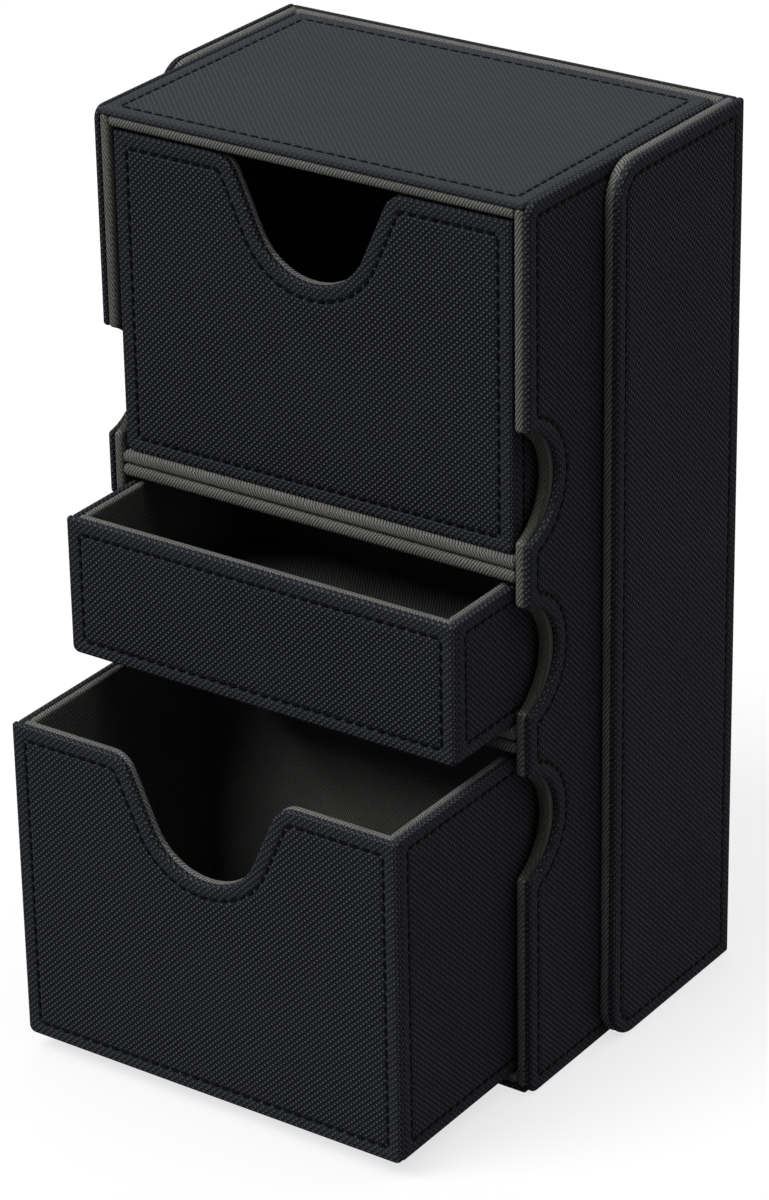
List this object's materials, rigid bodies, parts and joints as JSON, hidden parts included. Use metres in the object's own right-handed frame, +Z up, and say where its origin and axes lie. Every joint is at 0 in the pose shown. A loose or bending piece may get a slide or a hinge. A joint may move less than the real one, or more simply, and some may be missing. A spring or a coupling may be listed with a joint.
{
  "type": "trading card drawer box",
  "caption": "Upright storage box for cards: three drawers slide out of the front of a lined case, and a U-shaped cover with two wings lifts off its back.",
  "frame": {"origin": "middle of the underside of the case", "axes": "+Z up along the case's height, the drawers open along -Y, +X to the right as seen from the front"},
  "size_m": [0.1248, 0.128, 0.22],
  "materials": {
    "black_leatherette": "matt, fine woven emboss, stitched borders",
    "grey_suede": "short brushed nap",
    "magnet_steel": "plated"
  },
  "bodies": {
    "case": {"case_back_board": "black_leatherette", "case_back_lining": "grey_suede", "case_bottom_board": "black_leatherette", "case_bottom_lining": "grey_suede", "case_left_board": "black_leatherette", "case_left_lining": "grey_suede", "case_magnets": "magnet_steel", "case_right_board": "black_leatherette", "case_right_lining": "grey_suede", "case_top_board": "black_leatherette", "case_top_lining": "grey_suede", "lower_shelf_bottom_board": "grey_suede", "lower_shelf_top_board": "grey_suede", "upper_shelf_bottom_board": "grey_suede", "upper_shelf_top_board": "grey_suede"},
    "top_drawer": {"top_drawer_back_board": "black_leatherette", "top_drawer_back_lining": "grey_suede", "top_drawer_base_board": "black_leatherette", "top_drawer_base_lining": "grey_suede", "top_drawer_front_board": "black_leatherette", "top_drawer_front_lining": "grey_suede", "top_drawer_left_board": "black_leatherette", "top_drawer_left_lining": "grey_suede", "top_drawer_right_board": "black_leatherette", "top_drawer_right_lining": "grey_suede"},
    "middle_drawer": {"middle_drawer_back_board": "black_leatherette", "middle_drawer_back_lining": "grey_suede", "middle_drawer_base_board": "black_leatherette", "middle_drawer_base_lining": "grey_suede", "middle_drawer_front_board": "black_leatherette", "middle_drawer_front_lining": "grey_suede", "middle_drawer_left_board": "black_leatherette", "middle_drawer_left_lining": "grey_suede", "middle_drawer_right_board": "black_leatherette", "middle_drawer_right_lining": "grey_suede"},
    "bottom_drawer": {"bottom_drawer_back_board": "black_leatherette", "bottom_drawer_back_lining": "grey_suede", "bottom_drawer_base_board": "black_leatherette", "bottom_drawer_base_lining": "grey_suede", "bottom_drawer_front_board": "black_leatherette", "bottom_drawer_front_lining": "grey_suede", "bottom_drawer_left_board": "black_leatherette", "bottom_drawer_left_lining": "grey_suede", "bottom_drawer_right_board": "black_leatherette", "bottom_drawer_right_lining": "grey_suede"},
    "cover": {"cover_back_board": "black_leatherette", "cover_back_lining": "grey_suede", "cover_left_board": "black_leatherette", "cover_left_lining": "grey_suede", "cover_magnets": "magnet_steel", "cover_right_board": "black_leatherette", "cover_right_lining": "grey_suede"}
  },
  "joints": [
    {"name": "top_drawer_slide", "type": "slide", "parent": "case", "child": "top_drawer", "axis": [0, -1, 0], "range_m": [0, 0.073]},
    {"name": "middle_drawer_slide", "type": "slide", "parent": "case", "child": "middle_drawer", "axis": [0, -1, 0], "range_m": [-0.0234, 0.0496]},
    {"name": "bottom_drawer_slide", "type": "slide", "parent": "case", "child": "bottom_drawer", "axis": [0, -1, 0], "range_m": [-0.0467, 0.0263]},
    {"name": "cover_slide", "type": "slide", "parent": "case", "child": "cover", "axis": [0, 1, 0], "range_m": [0, 0.052]}
  ]
}
